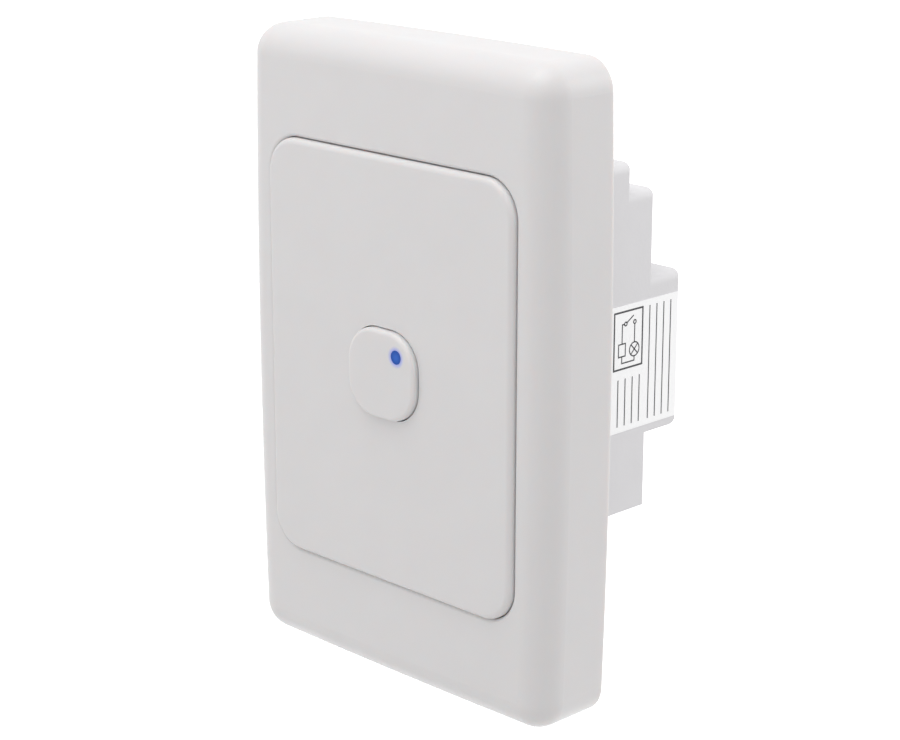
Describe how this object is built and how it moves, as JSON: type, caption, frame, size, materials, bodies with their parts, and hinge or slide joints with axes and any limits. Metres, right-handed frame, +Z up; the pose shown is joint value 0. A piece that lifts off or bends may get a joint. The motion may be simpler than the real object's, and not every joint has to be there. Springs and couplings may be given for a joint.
{
  "type": "timer light switch",
  "caption": "Wall-mounted push-button timer switch: clip-on surround, raised panel, round-cornered button with an indicator, and a stepped rear housing with screw terminals.",
  "frame": {"origin": "on the wall plane, midway between the two fixing holes", "axes": "+Z up, +X to the right as seen from the room, +Y into the wall; the front faces -Y"},
  "size_m": [0.076, 0.0503, 0.116],
  "materials": {
    "surround_plastic": "satin gloss white moulding, slightly warm",
    "panel_plastic": "satin gloss white moulding, slightly warm",
    "button_plastic": "satin gloss white moulding",
    "blue_light_guide": "translucent blue light guide, lit from behind",
    "led_body": "clear to milky chip LED",
    "spring_wire": "bright spring wire",
    "black_plastic": "matt black moulding",
    "plunger_plastic": "natural nylon",
    "circuit_board": "green solder mask",
    "zinc_steel": "bright zinc plate",
    "housing_plastic": "fine matt white moulding",
    "label_paper": "smooth white label stock, bare",
    "relay_case": "blue sealed case",
    "film_case": "yellow case",
    "capacitor_sleeve": "dark shrink sleeve",
    "inductor_sleeve": "black shrink sleeve",
    "varistor_coating": "blue epoxy coating",
    "fuse_ceramic": "plain ceramic tube",
    "nickel_plate": "nickel plate",
    "clip_brass": "bright brass",
    "resistor_coating": "brown cement coating",
    "terminal_plastic": "grey flame-retardant moulding"
  },
  "bodies": {
    "base": {"grid_plate": "panel_plastic", "indicator_led": "led_body", "button_spring": "spring_wire", "push_switch_body": "black_plastic", "control_board": "circuit_board", "control_board_screws": "zinc_steel", "microcontroller": "black_plastic", "chip_resistors": "black_plastic", "rear_housing": "housing_plastic", "housing_screw_left": "zinc_steel", "housing_screw_right": "zinc_steel", "rating_label": "label_paper", "power_board": "circuit_board", "relay": "relay_case", "film_capacitor": "film_case", "smoothing_capacitor": "capacitor_sleeve", "supply_inductor": "inductor_sleeve", "rectifier": "black_plastic", "varistor": "varistor_coating", "fuse_tube": "fuse_ceramic", "fuse_caps": "nickel_plate", "fuse_clips": "clip_brass", "dropper_resistor": "resistor_coating", "link_header": "black_plastic", "link_pins": "clip_brass", "terminal_block": "terminal_plastic", "terminal_clamp_1": "clip_brass", "terminal_screw_1": "zinc_steel", "terminal_clamp_2": "clip_brass", "terminal_screw_2": "zinc_steel", "terminal_clamp_3": "clip_brass", "terminal_screw_3": "zinc_steel", "terminal_clamp_4": "clip_brass", "terminal_screw_4": "zinc_steel"},
    "surround": {"surround_cover": "surround_plastic"},
    "button": {"push_button": "button_plastic", "indicator_lens": "blue_light_guide"},
    "plunger": {"push_switch_plunger": "plunger_plastic"}
  },
  "joints": [
    {"name": "surround_pull", "type": "slide", "parent": "base", "child": "surround", "axis": [0, -1, 0], "range_m": [0, 0.025]},
    {"name": "button_press", "type": "slide", "parent": "base", "child": "button", "axis": [0, 1, 0], "range_m": [0, 0.0012], "stiffness_N_per_m": 1200, "springref_m": -0.0006, "deforming": ["button_spring"]},
    {"name": "plunger_slide", "type": "slide", "parent": "base", "child": "plunger", "axis": [0, 1, 0], "range_m": [0, 0.0012]}
  ],
  "couplings": [
    {"joint": "plunger_slide", "follows": "button_press", "ratio": 1}
  ]
}
